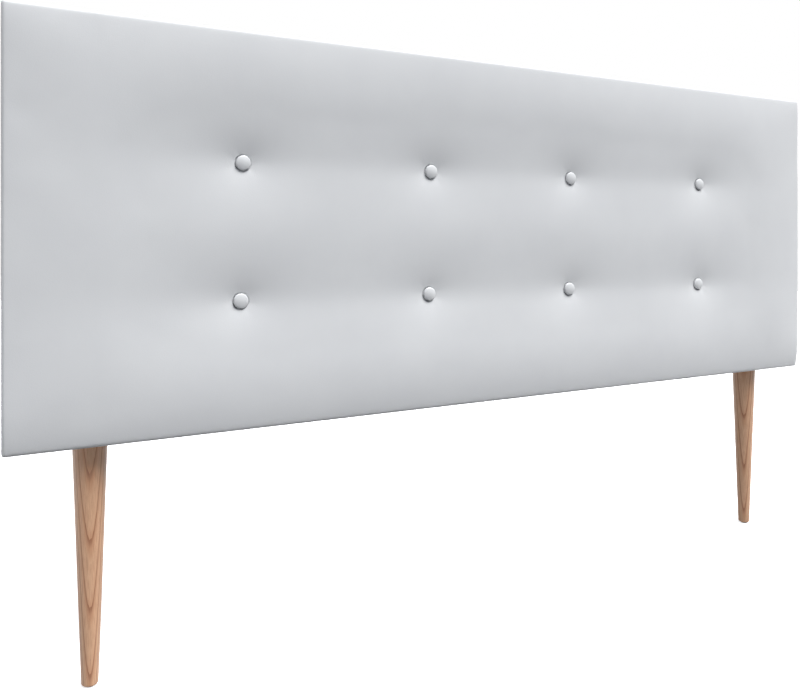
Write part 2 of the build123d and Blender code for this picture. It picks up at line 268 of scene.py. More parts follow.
@dataclass(frozen=True)
class TurnedBeech(Finish):
    """Steamed beech, turned on a lathe, sanded and lacquered.

    The taper cuts the growth rings at a shallow angle, so they show as arcs that point down,
    over fine fibres and short dark rays.
    """

    name: str = "beech_steamed_turned"
    axis: tuple[float, float] = (0.0, 0.0)
    heart_mm: tuple[float, float] = (4.0, 46.0)
    tilt_degrees: float = 0.3
    early: str = "#CDA382"
    middle: str = "#BD8D6B"
    late: str = "#8E5D41"
    ring_mm: float = 3.0
    waviness_mm: float = 1.5
    wave_mm: float = 45.0
    fibre_mm: float = 0.7
    fibre_length_mm: float = 40.0
    fibre_shade: str = "#A8795A"
    ray_mm: float = 0.8
    ray_length_mm: float = 4.0
    ray_shade: str = "#9A6C50"
    pore_depth_mm: float = 0.05

    def surface(self, tree: bpy.types.NodeTree) -> bpy.types.Node:
        """Add the beech's nodes to a tree and return its shader node."""
        place = add_node(tree, "ShaderNodeTexCoord").outputs["Object"]
        heart = [a + h / MM_IN_A_METRE for a, h in zip(self.axis, self.heart_mm)]
        tilt = math.radians(self.tilt_degrees)
        about_heart = add_node(
            tree,
            "ShaderNodeMapping",
            {"vector_type": "TEXTURE", "Location": (*heart, 0.0), "Rotation": (tilt, -tilt, 0.0)},
            {"Vector": place},
        )
        long_waves = add_node(
            tree, "ShaderNodeMapping", {"Scale": (1.0, 1.0, 0.3)}, {"Vector": about_heart.outputs[0]}
        )
        waves = add_node(
            tree,
            "ShaderNodeTexNoise",
            {"Scale": per_metre(self.wave_mm), "Detail": 2.0},
            {"Vector": long_waves.outputs[0]},
        )
        across = add_node(
            tree,
            "ShaderNodeVectorMath",
            {"operation": "MULTIPLY", 1: (1.0, 1.0, 0.0)},
            {0: about_heart.outputs[0]},
        )
        radius = add_node(tree, "ShaderNodeVectorMath", {"operation": "LENGTH"}, {0: across.outputs[0]})
        rings = add_node(
            tree,
            "ShaderNodeMath",
            {"operation": "MULTIPLY", 1: per_metre(self.ring_mm)},
            {0: radius.outputs["Value"]},
        )
        wavy_rings = add_node(
            tree,
            "ShaderNodeMath",
            {"operation": "MULTIPLY_ADD", 1: self.waviness_mm / self.ring_mm},
            {0: waves.outputs[0], 2: rings.outputs[0]},
        )
        growth = add_node(tree, "ShaderNodeMath", {"operation": "FRACT"}, {0: wavy_rings.outputs[0]})
        ring_colour = add_node(
            tree,
            "ShaderNodeValToRGB",
            {
                "stops": [
                    (0.0, linear(self.middle)),
                    (0.12, linear(self.early)),
                    (0.62, linear(self.early)),
                    (0.86, linear(self.middle)),
                    (0.96, linear(self.late)),
                ]
            },
            {"Fac": growth.outputs[0]},
        )
        fibres = self.streaks(tree, place, self.fibre_mm, self.fibre_length_mm)
        fibre_share = add_node(
            tree,
            "ShaderNodeMapRange",
            {"From Min": 0.42, "From Max": 0.75, "To Max": 0.75},
            {"Value": fibres},
        )
        fibred = add_node(
            tree,
            "ShaderNodeMix",
            {"data_type": "RGBA", 7: linear(self.fibre_shade)},
            {0: fibre_share.outputs[0], 6: ring_colour.outputs[0]},
        )
        rays = self.streaks(tree, place, self.ray_mm, self.ray_length_mm)
        ray_share = add_node(
            tree, "ShaderNodeMapRange", {"From Min": 0.64, "From Max": 0.74, "To Max": 0.5}, {"Value": rays}
        )
        grain = add_node(
            tree,
            "ShaderNodeMix",
            {"data_type": "RGBA", 7: linear(self.ray_shade)},
            {0: ray_share.outputs[0], 6: fibred.outputs[2]},
        )
        bump = add_node(
            tree,
            "ShaderNodeBump",
            {"Distance": self.pore_depth_mm / MM_IN_A_METRE, "Strength": 0.5, "invert": True},
            {"Height": fibres},
        )
        return add_node(
            tree,
            "ShaderNodeBsdfPrincipled",
            {"Roughness": 0.46, "IOR": 1.5},
            {"Base Color": grain.outputs[2], "Normal": bump.outputs[0]},
        )

    def streaks(
        self, tree: bpy.types.NodeTree, place: bpy.types.NodeSocket, width_mm: float, length_mm: float
    ) -> bpy.types.NodeSocket:
        """Add noise that is drawn out along the grain, which runs along Z.

        Args:
            tree: The material's node tree.
            place: The socket that gives each point's place.
            width_mm: A streak's width.
            length_mm: A streak's length.

        Returns:
            The noise's output socket.
        """
        drawn_out = add_node(
            tree,
            "ShaderNodeMapping",
            {"Scale": (per_metre(width_mm), per_metre(width_mm), per_metre(length_mm))},
            {"Vector": place},
        )
        noise = add_node(
            tree, "ShaderNodeTexNoise", {"Scale": 1.0, "Detail": 3.0}, {"Vector": drawn_out.outputs[0]}
        )
        return noise.outputs[0]


@dataclass(frozen=True)
class SawnPine(Finish):
    """Pine straight from the saw: pale yellow wood with brown growth lines and a furry, dull face."""

    name: str = "pine_sawn"
    along: tuple[float, float, float] = (1.0, 0.0, 0.0)
    early: str = "#DFC596"
    late: str = "#B98B55"
    ring_mm: float = 4.5
    waviness_mm: float = 9.0
    fur_mm: float = 0.9
    fur_height_mm: float = 0.15
    length_ratio: float = 0.06

    def surface(self, tree: bpy.types.NodeTree) -> bpy.types.Node:
        """Add the pine's nodes to a tree and return its shader node."""
        place = add_node(tree, "ShaderNodeTexCoord").outputs["Object"]
        scale = [self.length_ratio if share else 1.0 for share in self.along]
        drawn_out = add_node(tree, "ShaderNodeMapping", {"Scale": scale}, {"Vector": place})
        rings = add_node(
            tree,
            "ShaderNodeTexWave",
            {
                "bands_direction": "DIAGONAL",
                "Scale": per_metre(self.ring_mm * math.tau),
                "Distortion": self.waviness_mm,
                "Detail": 3.0,
                "Detail Scale": 0.6,
            },
            {"Vector": drawn_out.outputs[0]},
        )
        colour = add_node(
            tree,
            "ShaderNodeValToRGB",
            {"stops": [(0.45, linear(self.early)), (0.95, linear(self.late))]},
            {"Fac": rings.outputs[1]},
        )
        fur = add_node(
            tree,
            "ShaderNodeTexNoise",
            {"Scale": per_metre(self.fur_mm), "Detail": 4.0},
            {"Vector": drawn_out.outputs[0]},
        )
        bump = add_node(
            tree,
            "ShaderNodeBump",
            {"Distance": self.fur_height_mm / MM_IN_A_METRE},
            {"Height": fur.outputs[0]},
        )
        return add_node(
            tree,
            "ShaderNodeBsdfPrincipled",
            {"Roughness": 0.8, "IOR": 1.5},
            {"Base Color": colour.outputs[0], "Normal": bump.outputs[0]},
        )


@dataclass(frozen=True)
class Speckled(Finish):
    """A finish whose look is a fine, even speckle of two colours over a small relief."""

    colour: str = "#808080"
    fleck: str = "#707070"
    speck_mm: float = 1.0
    relief_mm: float = 0.05
    roughness: float = 0.5
    metallic: float = 0.0
    subsurface: float = 0.0

    def pattern(self, tree: bpy.types.NodeTree) -> bpy.types.NodeSocket:
        """Add the speckle's nodes to a tree.

        Args:
            tree: The material's node tree.

        Returns:
            The socket that gives the speckle, from 0 to 1.
        """
        place = add_node(tree, "ShaderNodeTexCoord").outputs["Object"]
        noise = add_node(
            tree, "ShaderNodeTexNoise", {"Scale": per_metre(self.speck_mm), "Detail": 5.0}, {"Vector": place}
        )
        return noise.outputs[0]

    def surface(self, tree: bpy.types.NodeTree) -> bpy.types.Node:
        """Add the speckled finish's nodes to a tree and return its shader node."""
        pattern = self.pattern(tree)
        colour = add_node(
            tree,
            "ShaderNodeValToRGB",
            {"stops": [(0.35, linear(self.fleck)), (0.65, linear(self.colour))]},
            {"Fac": pattern},
        )
        bump = add_node(
            tree, "ShaderNodeBump", {"Distance": self.relief_mm / MM_IN_A_METRE}, {"Height": pattern}
        )
        settings = {
            "Roughness": self.roughness,
            "Metallic": self.metallic,
            "Subsurface Weight": self.subsurface,
        }
        links = {"Base Color": colour.outputs[0], "Normal": bump.outputs[0]}
        return add_node(tree, "ShaderNodeBsdfPrincipled", settings, links)


@dataclass(frozen=True)
class PressedHardboard(Speckled):
    """Wet-pressed wood fibre: a dull brown felt of short fibres."""

    name: str = "hardboard_pressed"
    colour: str = "#8A6442"
    fleck: str = "#6B4A2F"
    speck_mm: float = 2.0
    relief_mm: float = 0.1
    roughness: float = 0.75


@dataclass(frozen=True)
class ZincPlatedSteel(Speckled):
    """Drawn or rolled steel, zinc plated: a cool, slightly clouded shine."""

    name: str = "steel_zinc_plated"
    colour: str = "#C6C9CC"
    fleck: str = "#A9ADB2"
    speck_mm: float = 1.8
    relief_mm: float = 0.01
    roughness: float = 0.34
    metallic: float = 1.0


@dataclass(frozen=True)
class MouldedGlide(Speckled):
    """Brown polyethylene, injection moulded: a soft, slightly pitted satin."""

    name: str = "polyethylene_moulded_brown"
    colour: str = "#4A3327"
    fleck: str = "#3C281E"
    speck_mm: float = 0.8
    relief_mm: float = 0.03
    roughness: float = 0.48


@dataclass(frozen=True)
class MouldedAnchor(Speckled):
    """Natural nylon, injection moulded: milky white, with light let a little way in."""

    name: str = "nylon_moulded_natural"
    colour: str = "#E6E3D8"
    fleck: str = "#DAD6C8"
    speck_mm: float = 1.5
    relief_mm: float = 0.02
    roughness: float = 0.4
    subsurface: float = 0.1


@dataclass(frozen=True)
class CutFoam(Speckled):
    """Polyurethane foam, cut with a hot wire: cream, open pores all over."""

    name: str = "foam_polyurethane_cut"
    colour: str = "#EBE3C8"
    fleck: str = "#CFC4A0"
    speck_mm: float = 1.6
    relief_mm: float = 0.6
    roughness: float = 0.95

    def pattern(self, tree: bpy.types.NodeTree) -> bpy.types.NodeSocket:
        """Add the foam's pores to a tree and return the socket that gives them."""
        place = add_node(tree, "ShaderNodeTexCoord").outputs["Object"]
        pores = add_node(
            tree, "ShaderNodeTexVoronoi", {"Scale": per_metre(self.speck_mm)}, {"Vector": place}
        )
        return pores.outputs["Distance"]


@dataclass(frozen=True)
class TwistedTwine(Speckled):
    """Nylon twine, three strands twisted: off-white with slanting ridges."""

    name: str = "nylon_twine_twisted"
    colour: str = "#E8E4D6"
    fleck: str = "#C2BCA8"
    speck_mm: float = 1.2
    relief_mm: float = 0.25
    roughness: float = 0.55

    def pattern(self, tree: bpy.types.NodeTree) -> bpy.types.NodeSocket:
        """Add the twist's slanting ridges to a tree and return the socket that gives them."""
        place = add_node(tree, "ShaderNodeTexCoord").outputs["Object"]
        ridges = add_node(
            tree,
            "ShaderNodeTexWave",
            {"bands_direction": "DIAGONAL", "Scale": per_metre(self.speck_mm * math.tau)},
            {"Vector": place},
        )
        return ridges.outputs[1]


@dataclass(frozen=True)
class SpunBondedCloth(Speckled):
    """Black spun-bonded polypropylene: dull matted fibres, pressed together in small dots."""

    name: str = "polypropylene_spun_bonded"
    colour: str = "#232427"
    fleck: str = "#161719"
    # The real bond points are about 1 mm apart, drawn at three times that to show.
    speck_mm: float = 3.0
    fibre_mm: float = 0.8
    relief_mm: float = 0.12
    roughness: float = 0.88

    def pattern(self, tree: bpy.types.NodeTree) -> bpy.types.NodeSocket:
        """Add the bond points and fibres to a tree and return the socket that gives them."""
        place = add_node(tree, "ShaderNodeTexCoord").outputs["Object"]
        dots = add_node(
            tree,
            "ShaderNodeTexVoronoi",
            {"Scale": per_metre(self.speck_mm), "Randomness": 0.15},
            {"Vector": place},
        )
        fibres = add_node(
            tree, "ShaderNodeTexNoise", {"Scale": per_metre(self.fibre_mm), "Detail": 6.0}, {"Vector": place}
        )
        both = add_node(
            tree,
            "ShaderNodeMath",
            {"operation": "MULTIPLY_ADD", 1: 0.6},
            {0: dots.outputs["Distance"], 2: fibres.outputs[0]},
        )
        return add_node(
            tree, "ShaderNodeMath", {"operation": "SUBTRACT", 1: 0.2}, {0: both.outputs[0]}
        ).outputs[0]


@cache
def box_of(node: str) -> tuple[Vector, Vector]:
    """Find a node's lowest and highest corner, once for each node."""
    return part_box(node)


def middle_of(node: str) -> Vector:
    """Find the middle of a node's box."""
    low, high = box_of(node)
    return (low + high) / 2


def make_piece(
    name: str, vertices: np.ndarray, faces: list[tuple[int, ...]], sharp_degrees: float = 180.0
) -> bpy.types.Object:
    """Make a smooth-shaded mesh object out of vertices and faces.

    Args:
        name: The piece's name.
        vertices: One row of X, Y and Z for each vertex.
        faces: Vertex numbers of each face, counter-clockwise from outside.
        sharp_degrees: Edges that turn by more than this stay sharp.

    Returns:
        The object, in the scene.
    """
    used, renumbered = np.unique(np.concatenate([np.array(f) for f in faces]), return_inverse=True)
    ends = np.cumsum([len(f) for f in faces])[:-1]
    kept_faces = [tuple(int(v) for v in part) for part in np.split(renumbered, ends)]
    mesh = bpy.data.meshes.new(name)
    mesh.from_pydata(np.asarray(vertices)[used].tolist(), [], kept_faces)
    mesh.update()
    shade_smooth(mesh, sharp_degrees)
    piece = bpy.data.objects.new(name, mesh)
    bpy.context.scene.collection.objects.link(piece)
    return piece


def shade_smooth(mesh: bpy.types.Mesh, sharp_degrees: float) -> None:
    """Shade a mesh smooth, apart from edges that turn by more than an angle."""
    mesh.polygons.foreach_set("use_smooth", [True] * len(mesh.polygons))
    mesh.set_sharp_from_angle(angle=math.radians(sharp_degrees))


def apply_modifiers(piece: bpy.types.Object) -> None:
    """Replace a piece's mesh by what its modifiers make of it."""
    evaluated = piece.evaluated_get(bpy.context.evaluated_depsgraph_get())
    made = bpy.data.meshes.new_from_object(evaluated)
    name = piece.data.name
    piece.modifiers.clear()
    piece.data = made
    made.name = name


def banded_lines(
    low: float, high: float, bands: list[tuple[float, float, int]], coarse_step: float
) -> np.ndarray:
    """Lay grid lines between two ends, evenly within bands and coarser between them.

    Args:
        low: The first line.
        high: The last line.
        bands: Middle, half width and number of steps of each band, in rising order.
        coarse_step: About how far apart the lines between the bands are.

    Returns:
        The lines in rising order.
    """
    stops = [(low, low, 0)]
    stops += [(middle - half, middle + half, steps) for middle, half, steps in bands]
    stops.append((high, high, 0))
    lines = [low]
    for (_, last, _), (first, end, steps) in zip(stops, stops[1:]):
        count = max(1, round((first - last) / coarse_step))
        lines += list(np.linspace(last, first, count + 1))[1:]
        lines += list(np.linspace(first, end, steps + 1))[1:] if steps else []
    return np.array(lines)


def smooth(share: np.ndarray) -> np.ndarray:
    """Ease a share from 0 to 1, level at both ends."""
    held = np.clip(share, 0.0, 1.0)
    return held * held * (3 - 2 * held)


def crossed_waves(
    waves: tuple[tuple[float, float, float], ...], x: np.ndarray, z: np.ndarray
) -> np.ndarray:
    """Multiply slanting waves with each other.

    Args:
        waves: Each wave's radians in a metre of X and of Z, and its phase.
        x: Each point's X.
        z: Each point's Z.

    Returns:
        The product at each point, from -1 to 1.
    """
    return np.prod([np.sin(along * x + up * z + phase) for along, up, phase in waves], axis=0)


@dataclass(frozen=True)
class Relief:
    """How far each point of the padded front lies behind the crests of its pillows.

    The lengths are in metres. A reach is how far a fall or a dip runs out from where it is deepest.
    """

    channel_rounding: float = 0.018
    channel_fade: float = 0.240
    middle_depth: float = 0.0010
    upper_depth: float = 0.0035
    upper_reach: float = 0.112
    lower_depth: float = 0.0040
    lower_reach: float = 0.112
    top_fall: float = 0.0032
    top_reach: float = 0.070
    bottom_fall: float = 0.0074
    bottom_reach: float = 0.110
    end_fall: float = 0.0022
    end_reach: float = 0.110
    tuft_near_share: float = 0.20
    tuft_near_reach: float = 0.014
    tuft_far_reach: float = 0.053
    tuft_stretch: float = 1.6
    seat_radius: float = 0.0114
    seat_wall: float = 0.0020
    pleat_count: int = 9
    pleat_height: float = 0.0001
    pleat_reach: float = 0.018
    pleat_phase: float = 2.1
    pleat_wander: float = 0.6
    pull_height: float = 0.0007
    pull_width: float = 0.030
    pull_start_shares: tuple[float, float] = (0.12, 0.02)
    pull_end_shares: tuple[float, float] = (0.50, 0.76)
    pull_rise: float = 0.5
    pull_run_out: float = 1.5
    pull_fade: float = 0.6
    unevenness: float = 0.00022
    quick_share: float = 0.5

    @property
    def buttons(self) -> list[Vector]:
        """Middle of each button, the upper row first."""
        return [middle_of(f"{row}_button_{n}") for row in ("upper", "lower") for n in range(1, 5)]

    @property
    def crest_y(self) -> float:
        """Y of the pillows' crests."""
        return box_of("cover")[0].y

    @property
    def tuft_depth(self) -> float:
        """How far a button's seat lies behind the crests."""
        return box_of("upper_button_1")[1].y - self.crest_y

    def channels(self, x: np.ndarray, z: np.ndarray) -> np.ndarray:
        """Depth of the two shallow channels that the button rows draw into the padding.

        Args:
            x: Each point's X.
            z: Each point's Z.

        Returns:
            The depth at each point.
        """
        lower, upper = self.buttons[4].z, self.buttons[0].z
        between = (upper - lower) / 2
        outer = max(abs(b.x) for b in self.buttons)
        strength = 1 - smooth((np.abs(x) - outer) / self.channel_fade)
        depth = np.where((z >= lower) & (z <= upper), self.middle_depth, 0.0)
        for row, full, reach, outward in (
            (upper, self.upper_depth, self.upper_reach, z > upper),
            (lower, self.lower_depth, self.lower_reach, z < lower),
        ):
            away = np.hypot(z - row, self.channel_rounding) - self.channel_rounding
            inner = (full - self.middle_depth) * np.clip(1 - away / between, 0, None) ** 2
            outside = full * np.clip(1 - away / reach, 0, None) ** 2
            depth += np.where(outward, outside, inner)
        return depth * strength

    def edges(self, x: np.ndarray, z: np.ndarray) -> np.ndarray:
        """Depth that the crown falls by towards the panel's four edges.

        Args:
            x: Each point's X.
            z: Each point's Z.

        Returns:
            The depth at each point.
        """
        low, high = box_of("cover")
        from_end = np.minimum(x - low.x, high.x - x)
        top = self.top_fall * np.clip(1 - (high.z - z) / self.top_reach, 0, None) ** 3
        bottom = self.bottom_fall * np.clip(1 - (z - low.z) / self.bottom_reach, 0, None) ** 3
        end = self.end_fall * np.clip(1 - from_end / self.end_reach, 0, None) ** 2
        return np.hypot(top + bottom, end)

    def tufts(self, x: np.ndarray, z: np.ndarray) -> np.ndarray:
        """Depth that the buttons draw the padding in by, with their pleats.

        Args:
            x: Each point's X.
            z: Each point's Z.

        Returns:
            The depth at each point.
        """
        depth = np.zeros_like(x)
        for number, button in enumerate(self.buttons):
            full = self.tuft_depth - (self.upper_depth if number < 4 else self.lower_depth)
            dx, dz = x - button.x, z - button.z
            near = np.hypot(dx, dz)
            far = np.hypot(dx / self.tuft_stretch, dz)
            shape = self.tuft_near_share * np.exp(-near / self.tuft_near_reach)
            shape += (1 - self.tuft_near_share) * np.exp(-far / self.tuft_far_reach)
            angle = np.arctan2(dz, dx)
            wander = self.pleat_wander * np.sin(3 * angle + number)
            pleats = np.cos(self.pleat_count * angle + self.pleat_phase * number + wander)
            swell = (near / self.pleat_reach) * np.exp(1 - near / self.pleat_reach)
            depth += full * shape + self.pleat_height * pleats * swell ** 2
        return depth

    def pulls(self, x: np.ndarray, z: np.ndarray) -> np.ndarray:
        """Depth of the faint slanting pulls where the cover is drawn tight towards its corners.

        Args:
            x: Each point's X.
            z: Each point's Z.

        Returns:
            The depth at each point.
        """
        depth = np.zeros_like(x)
        base, top = box_of("cover")[0].z, box_of("cover")[1].z
        height = top - base
        start_out, start_up = self.pull_start_shares
        end_out, end_up = self.pull_end_shares
        for button, side in ((self.buttons[4], -1), (self.buttons[7], 1)):
            start_x, start_z = button.x + side * start_out * height, button.z + start_up * height
            end_x, end_z = button.x + side * end_out * height, base + end_up * height
            length = math.hypot(end_x - start_x, end_z - start_z)
            ux, uz = (end_x - start_x) / length, (end_z - start_z) / length
            along = (x - start_x) * ux + (z - start_z) * uz
            off = (x - start_x) * uz - (z - start_z) * ux
            held = smooth(along / (self.pull_rise * length))
            held = held * smooth((self.pull_run_out * length - along) / (self.pull_fade * length))
            depth += self.pull_height * held * np.exp(-((off / self.pull_width) ** 2))
        return depth

    def swell(self, x: np.ndarray, z: np.ndarray) -> np.ndarray:
        """Depth of the slow unevenness that a stretched cover over foam has.

        Args:
            x: Each point's X.
            z: Each point's Z.

        Returns:
            The depth at each point.
        """
        quick = self.quick_share * crossed_waves(QUICK_WAVES, x, z)
        return self.unevenness * (crossed_waves(SLOW_WAVES, x, z) + quick)

    def depth(self, x: np.ndarray, z: np.ndarray) -> np.ndarray:
        """Add up the padded front's depth behind its crests.

        Args:
            x: Each point's X.
            z: Each point's Z.

        Returns:
            The depth at each point.
        """
        depth = self.channels(x, z) + self.edges(x, z) + self.tufts(x, z)
        depth += self.pulls(x, z) + self.swell(x, z)
        for button in self.buttons:
            away = np.hypot(x - button.x, z - button.z)
            share = smooth((away - self.seat_radius) / self.seat_wall)
            depth = depth * share + self.tuft_depth * (1 - share)
        return depth


@dataclass(frozen=True)
class Ring:
    """One row of vertices round the block behind its rounded front edges.

    A ring lies at its own Y, or at a share of the way from the front's rim to that Y.
    """

    y: float
    inward: float = 0.0
    share: float = 1.0


@dataclass(frozen=True)
class PaddedSkin:
    """The outside of the padded block, drawn in by an inset, as one sheet of quads.

    A grid covers the front and runs on over the rounded edges. Rings of quads carry it round the
    sides. Each button has its own patch of round rings.
    """

    relief: Relief = Relief()
    inset: float = 0.0
    edge_radius: float = 0.005
    end_radius: float = 0.005
    corner_radius: float = 0.004
    round_steps: int = 4
    coarse_step: float = 0.0125
    patch_half: float = 0.024
    patch_steps: int = 8
    hole_half: float = 0.009
    hole_steps: int = 6
    hole_radius: float = 0.006
    outer_wall_shares: tuple[float, float] = (1.8, 2.8)
    outermost_square_share: float = 0.3

    @property
    def legs(self) -> list[Vector]:
        """Middle of each leg."""
        return [middle_of(f"{side.value}_leg") for side in Side]

    @property
    def block(self) -> tuple[Vector, Vector]:
        """Lowest and highest corner of the block."""
        low, high = box_of("cover")
        off = Vector((self.inset, self.inset, self.inset))
        return low + off, high - off

    def columns(self) -> list[float]:
        """X of each column of buttons, midway between its upper and its lower one."""
        upper, lower = self.relief.buttons[:4], self.relief.buttons[4:]
        return [(a.x + b.x) / 2 for a, b in zip(upper, lower)]

    def axis_lines(
        self, low: float, high: float, radius: float, bands: list[tuple[float, float, int]]
    ) -> tuple[np.ndarray, np.ndarray]:
        """Lay the grid lines along one axis, from rim to rim.

        Args:
            low: The block's lower side on that axis.
            high: The block's upper side on that axis.
            radius: Radius of the rounded edges there.
            bands: The bands of finer lines.

        Returns:
            Each line's place, and how far round the edge it is, from 0 to 1.
        """
        flat = banded_lines(low + radius, high - radius, bands, self.coarse_step)
        turn = np.arange(1, self.round_steps + 1) / self.round_steps
        off = radius * np.sin(turn * math.pi / 2)
        places = np.concatenate([(low + radius - off)[::-1], flat, high - radius + off])
        turns = np.concatenate([turn[::-1], np.zeros(len(flat)), turn])
        return places, turns

    def front(self) -> tuple[np.ndarray, np.ndarray, np.ndarray]:
        """Lay out the front's grid with its rounded edges.

        Returns:
            The grid's points, X first and Z second, and the lines along X and along Z.
        """
        low, high = self.block
        end_radius, edge_radius = self.end_radius - self.inset, self.edge_radius - self.inset
        x_bands = [(leg.x, self.hole_half, self.hole_steps) for leg in self.legs]
        x_bands += [(x, self.patch_half, self.patch_steps) for x in self.columns()]
        z_bands = [(self.relief.buttons[i].z, self.patch_half, self.patch_steps) for i in (4, 0)]
        xs, x_turns = self.axis_lines(low.x, high.x, end_radius, sorted(x_bands))
        zs, z_turns = self.axis_lines(low.z, high.z, edge_radius, z_bands)
        x, z = np.meshgrid(xs, zs, indexing="ij")
        end_drop = end_radius * (1 - np.cos(x_turns * math.pi / 2))
        edge_drop = edge_radius * (1 - np.cos(z_turns * math.pi / 2))
        drop = np.cbrt(end_drop[:, None] ** 3 + edge_drop[None, :] ** 3)
        y = low.y + self.relief.depth(x, z) + drop
        return np.stack([*self.round_corners(x, y, z)], axis=-1), xs, zs

    def round_corners(
        self, x: np.ndarray, y: np.ndarray, z: np.ndarray
    ) -> tuple[np.ndarray, np.ndarray, np.ndarray]:
        """Draw the four corners in to their radius.

        Args:
            x: Each point's X.
            y: Each point's Y.
            z: Each point's Z.

        Returns:
            The same points, with those at the corners moved.
        """
        low, high = self.block
        radius = self.corner_radius - self.inset / 2
        middle_x, middle_z = (low.x + high.x) / 2, (low.z + high.z) / 2
        over_x = np.abs(x - middle_x) - ((high.x - low.x) / 2 - radius)
        over_z = np.abs(z - middle_z) - ((high.z - low.z) / 2 - radius)
        corner = (over_x > 0) & (over_z > 0)
        length = np.hypot(over_x, over_z) + NO_LENGTH
        shrink = np.where(corner, np.maximum(over_x, over_z) / length - 1, 0.0)
        return (
            x + np.sign(x - middle_x) * over_x * shrink,
            y,
            z + np.sign(z - middle_z) * over_z * shrink,
        )

    def build(
        self, rings: list[Ring], punched: bool
    ) -> tuple[np.ndarray, list[tuple[int, ...]], list[int]]:
        """Make the sheet.

        Args:
            rings: The rows behind the rim, from front to back.
            punched: Whether the underside has a hole for each leg's bolt.

        Returns:
            The vertices, the faces, and the last ring's vertex numbers.
        """
        grid, xs, zs = self.front()
        nx, nz = grid.shape[:2]
        in_column = self.taken(xs, self.columns())
        in_row = self.taken(zs, [self.relief.buttons[i].z for i in (0, 4)])
        points = [grid.reshape(-1, 3)]
        faces = [
            (i * nz + j, (i + 1) * nz + j, (i + 1) * nz + j + 1, i * nz + j + 1)
            for i in range(nx - 1)
            for j in range(nz - 1)
            if not (in_column[i] and in_row[j])
        ]
        count = nx * nz
        for number, button in enumerate(self.relief.buttons):
            patch_points, patch_faces = self.patch(grid, xs, zs, number, button, count)
            points.append(patch_points)
            faces += patch_faces
            count += len(patch_points)
        rim = [i * nz for i in range(nx)]
        rim += [(nx - 1) * nz + j for j in range(1, nz)]
        rim += [i * nz + nz - 1 for i in range(nx - 2, -1, -1)]
        rim += list(range(nz - 2, 0, -1))
        before = rim
        for row in self.rings(grid.reshape(-1, 3)[rim], rings, punched):
            now = list(range(count, count + len(rim)))
            faces += self.band(before, now)
            points.append(row)
            count += len(rim)
            before = now
        vertices = np.concatenate(points)
        return vertices, self.without_holes(faces, vertices, punched), before

    def taken(self, lines: np.ndarray, middles: list[float]) -> np.ndarray:
        """Tell which of the spaces between grid lines the buttons' round patches take up."""
        spaces = (lines[:-1] + lines[1:]) / 2
        return np.any([np.abs(spaces - middle) < self.patch_half for middle in middles], axis=0)

    def patch(
        self, grid: np.ndarray, xs: np.ndarray, zs: np.ndarray, number: int, button: Vector, first: int
    ) -> tuple[np.ndarray, list[tuple[int, ...]]]:
        """Fill the square about a button with round rings of quads.

        Args:
            grid: The front's grid.
            xs: The grid's lines along X.
            zs: The grid's lines along Z.
            number: The button's place in the row of eight.
            button: The button's middle.
            first: The number that the patch's first vertex gets.

        Returns:
            The patch's own vertices, and its faces.
        """
        steps, nz = self.patch_steps, grid.shape[1]
        i0 = int(np.argmin(np.abs(xs - (self.columns()[number % 4] - self.patch_half))))
        j0 = int(np.argmin(np.abs(zs - (button.z - self.patch_half))))
        loop = [(i0 + k, j0) for k in range(steps)]
        loop += [(i0 + steps, j0 + k) for k in range(steps)]
        loop += [(i0 + steps - k, j0 + steps) for k in range(steps)]
        loop += [(i0, j0 + steps - k) for k in range(steps)]
        square = np.array([[xs[i], zs[j]] for i, j in loop])
        away = square - np.array([button.x, button.z])
        ways = away / np.linalg.norm(away, axis=1)[:, None]
        seat = self.relief.seat_radius
        wall = self.relief.seat_wall
        radii = [seat / 2, seat, seat + wall / 3, seat + 2 * wall / 3, seat + wall]
        radii += [seat + share * wall for share in self.outer_wall_shares]
        low_y = self.block[0].y
        points, before, faces = [], [i * nz + j for i, j in loop], []
        count = len(loop)
        for index, radius in enumerate(reversed(radii)):
            square_share = self.outermost_square_share if index == 0 else 0.0
            flat = np.array([button.x, button.z]) + ways * radius
            flat = flat * (1 - square_share) + square * square_share
            depth = self.relief.depth(flat[:, 0], flat[:, 1])
            points.append(np.stack([flat[:, 0], low_y + depth, flat[:, 1]], axis=1))
            now = [first + index * count + k for k in range(count)]
            faces += [
                (before[k], before[(k + 1) % count], now[(k + 1) % count], now[k]) for k in range(count)
            ]
            before = now
        points.append(np.array([[button.x, low_y + self.relief.tuft_depth, button.z]]))
        hub = first + len(radii) * count
        faces += [(before[k], before[(k + 1) % count], hub) for k in range(count)]
        return np.concatenate(points), faces

    def rings(self, rim: np.ndarray, rings: list[Ring], punched: bool) -> list[np.ndarray]:
        """Lay out the rows behind the rim.

        Args:
            rim: The front's outer vertices, in order round the block.
            rings: What each row is.
            punched: Whether the underside's bolt holes are made round.

        Returns:
            Each row's vertices, in the rim's order.
        """
        low, high = self.block
        middle = (low + high) / 2
        half = (high - low) / 2
        rows = []
        for ring in rings:
            row = rim.copy()
            row[:, 0] = middle.x + (rim[:, 0] - middle.x) * (half.x - ring.inward) / half.x
            row[:, 2] = middle.z + (rim[:, 2] - middle.z) * (half.z - ring.inward) / half.z
            row[:, 1] = rim[:, 1] + (ring.y - rim[:, 1]) * ring.share
            if punched and ring.inward == 0 and ring.share == 1:
                self.round_holes(row)
            rows.append(row)
        return rows

